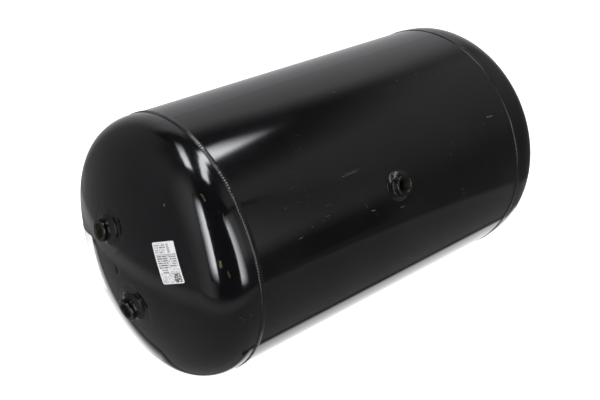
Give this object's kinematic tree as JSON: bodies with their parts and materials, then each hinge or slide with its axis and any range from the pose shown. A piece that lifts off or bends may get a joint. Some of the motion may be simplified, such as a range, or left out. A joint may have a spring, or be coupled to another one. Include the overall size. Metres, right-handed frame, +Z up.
{
  "type": "horizontal pressure tank",
  "caption": "Horizontal steel air tank: a black round shell between dished heads, with welded seams, threaded ports and white labels.",
  "frame": {"origin": "on the ground, in the middle of the footprint, half-way between the two heads", "axes": "+X along the tank from the near (labelled) head to the far one, +Z up, -Y to the side with the shell's port"},
  "size_m": [0.7662, 0.4002, 0.3988],
  "materials": {
    "shell_paint": "gloss",
    "head_paint": "gloss",
    "weld_paint": "gloss",
    "port_paint": "gloss",
    "label_film": "semi-gloss"
  },
  "bodies": {
    "root": {"shell": "shell_paint", "shell_seam": "weld_paint", "head_near": "head_paint", "head_far": "head_paint", "girth_weld_near": "weld_paint", "girth_weld_far": "weld_paint", "port_near_upper": "port_paint", "port_near_lower": "port_paint", "port_far_upper": "port_paint", "port_far_lower": "port_paint", "port_shell": "port_paint", "port_weld_near_upper": "weld_paint", "port_weld_near_lower": "weld_paint", "port_weld_far_upper": "weld_paint", "port_weld_far_lower": "weld_paint", "port_weld_shell": "weld_paint", "data_label": "label_film", "side_label": "label_film"}
  },
  "joints": []
}
